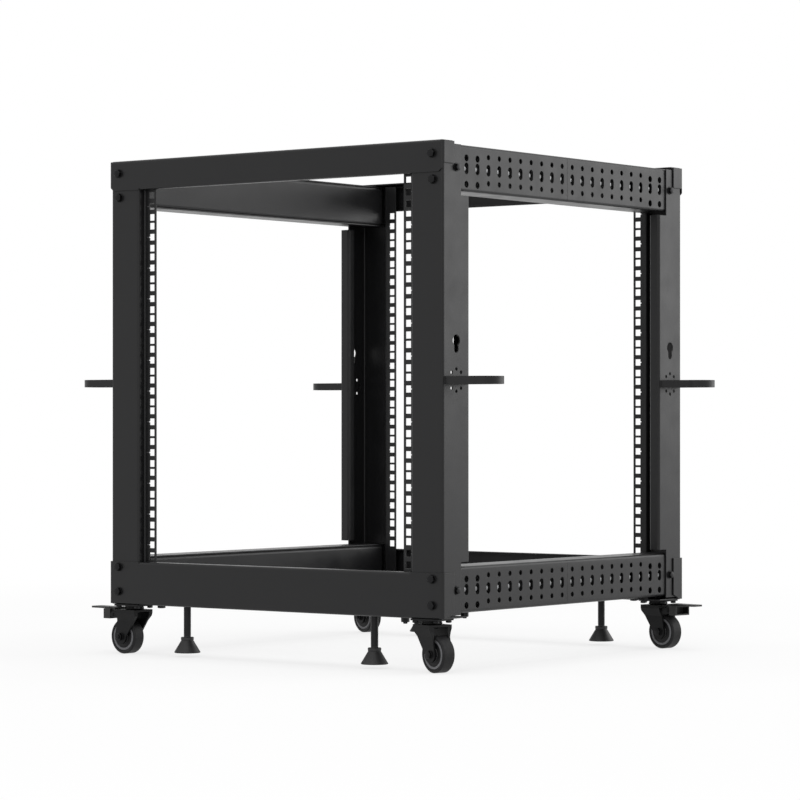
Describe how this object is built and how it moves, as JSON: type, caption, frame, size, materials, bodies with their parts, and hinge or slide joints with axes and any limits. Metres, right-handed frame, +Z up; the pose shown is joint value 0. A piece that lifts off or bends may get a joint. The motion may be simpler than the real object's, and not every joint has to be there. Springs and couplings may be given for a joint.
{
  "type": "four post open frame rack",
  "caption": "Black four-post open frame server rack on swivel casters, with square-hole mounting flanges, perforated side rails, cable hooks and levelling feet.",
  "frame": {"origin": "on the floor under the middle of the frame", "axes": "X runs left to right seen from the front, Y from front to rear, Z up"},
  "size_m": [0.746, 0.6098, 0.715],
  "materials": {
    "rack_black": "satin powder coat",
    "hook_black": "satin powder coat",
    "caster_black": "gloss black electrocoat",
    "hub_grey": "moulded grey",
    "tyre_black": "smooth tread",
    "pedal_black": "matt black electrocoat",
    "foot_black": "matt black electrocoat"
  },
  "bodies": {
    "frame": {"post_front_left": "rack_black", "post_front_right": "rack_black", "post_rear_left": "rack_black", "post_rear_right": "rack_black", "flange_front_left": "rack_black", "flange_front_right": "rack_black", "flange_rear_left": "rack_black", "flange_rear_right": "rack_black", "beam_top_front": "rack_black", "beam_top_rear": "rack_black", "beam_bottom_front": "rack_black", "beam_bottom_rear": "rack_black", "rail_top_left_front": "rack_black", "rail_top_left_rear": "rack_black", "rail_top_left_sleeve": "rack_black", "rail_top_right_front": "rack_black", "rail_top_right_rear": "rack_black", "rail_top_right_sleeve": "rack_black", "rail_bottom_left_front": "rack_black", "rail_bottom_left_rear": "rack_black", "rail_bottom_left_sleeve": "rack_black", "rail_bottom_right_front": "rack_black", "rail_bottom_right_rear": "rack_black", "rail_bottom_right_sleeve": "rack_black", "hook_front_left": "hook_black", "hook_front_right": "hook_black", "hook_rear_left": "hook_black", "hook_rear_right": "hook_black", "mount_front_left": "caster_black", "mount_front_right": "caster_black", "mount_rear_left": "caster_black", "mount_rear_right": "caster_black"},
    "swivel_front_left": {"fork_front_left": "caster_black"},
    "wheel_front_left": {"hub_front_left": "hub_grey", "tyre_front_left": "tyre_black"},
    "brake_front_left": {"brake_front_left": "pedal_black"},
    "swivel_front_right": {"fork_front_right": "caster_black"},
    "wheel_front_right": {"hub_front_right": "hub_grey", "tyre_front_right": "tyre_black"},
    "swivel_rear_left": {"fork_rear_left": "caster_black"},
    "wheel_rear_left": {"hub_rear_left": "hub_grey", "tyre_rear_left": "tyre_black"},
    "swivel_rear_right": {"fork_rear_right": "caster_black"},
    "wheel_rear_right": {"hub_rear_right": "hub_grey", "tyre_rear_right": "tyre_black"},
    "brake_rear_right": {"brake_rear_right": "pedal_black"},
    "foot_front_left": {"foot_front_left": "foot_black"},
    "foot_front_right": {"foot_front_right": "foot_black"},
    "foot_rear_left": {"foot_rear_left": "foot_black"},
    "foot_rear_right": {"foot_rear_right": "foot_black"}
  },
  "joints": [
    {"name": "swivel_front_left", "type": "hinge", "parent": "frame", "child": "swivel_front_left", "pos_m": [-0.27, -0.2815, 0.063], "axis": [0, 0, 1], "continuous": true},
    {"name": "roll_front_left", "type": "hinge", "parent": "swivel_front_left", "child": "wheel_front_left", "pos_m": [-0.28399, -0.28086, 0.025], "axis": [-0.0454, -0.999, 0], "continuous": true},
    {"name": "press_front_left", "type": "hinge", "parent": "swivel_front_left", "child": "brake_front_left", "pos_m": [-0.29997, -0.28014, 0.0565], "axis": [-0.0454, -0.999, 0], "range_deg": [0, 8]},
    {"name": "swivel_front_right", "type": "hinge", "parent": "frame", "child": "swivel_front_right", "pos_m": [0.27, -0.2815, 0.063], "axis": [0, 0, 1], "continuous": true},
    {"name": "roll_front_right", "type": "hinge", "parent": "swivel_front_right", "child": "wheel_front_right", "pos_m": [0.28348, -0.28529, 0.025], "axis": [0.2706, 0.9627, 0], "continuous": true},
    {"name": "swivel_rear_left", "type": "hinge", "parent": "frame", "child": "swivel_rear_left", "pos_m": [-0.27, 0.2815, 0.063], "axis": [0, 0, 1], "continuous": true},
    {"name": "roll_rear_left", "type": "hinge", "parent": "swivel_rear_left", "child": "wheel_rear_left", "pos_m": [-0.28348, 0.28529, 0.025], "axis": [-0.2706, -0.9627, 0], "continuous": true},
    {"name": "swivel_rear_right", "type": "hinge", "parent": "frame", "child": "swivel_rear_right", "pos_m": [0.27, 0.2815, 0.063], "axis": [0, 0, 1], "continuous": true},
    {"name": "roll_rear_right", "type": "hinge", "parent": "swivel_rear_right", "child": "wheel_rear_right", "pos_m": [0.2838, 0.27914, 0.025], "axis": [0.1685, 0.9857, 0], "continuous": true},
    {"name": "press_rear_right", "type": "hinge", "parent": "swivel_rear_right", "child": "brake_rear_right", "pos_m": [0.29957, 0.27644, 0.0565], "axis": [0.1685, 0.9857, 0], "range_deg": [0, 8]},
    {"name": "level_front_left", "type": "slide", "parent": "frame", "child": "foot_front_left", "axis": [0, 0, -1], "range_m": [-0.02, 0.02]},
    {"name": "level_front_right", "type": "slide", "parent": "frame", "child": "foot_front_right", "axis": [0, 0, -1], "range_m": [-0.02, 0.02]},
    {"name": "level_rear_left", "type": "slide", "parent": "frame", "child": "foot_rear_left", "axis": [0, 0, -1], "range_m": [-0.02, 0.02]},
    {"name": "level_rear_right", "type": "slide", "parent": "frame", "child": "foot_rear_right", "axis": [0, 0, -1], "range_m": [-0.02, 0.02]}
  ]
}
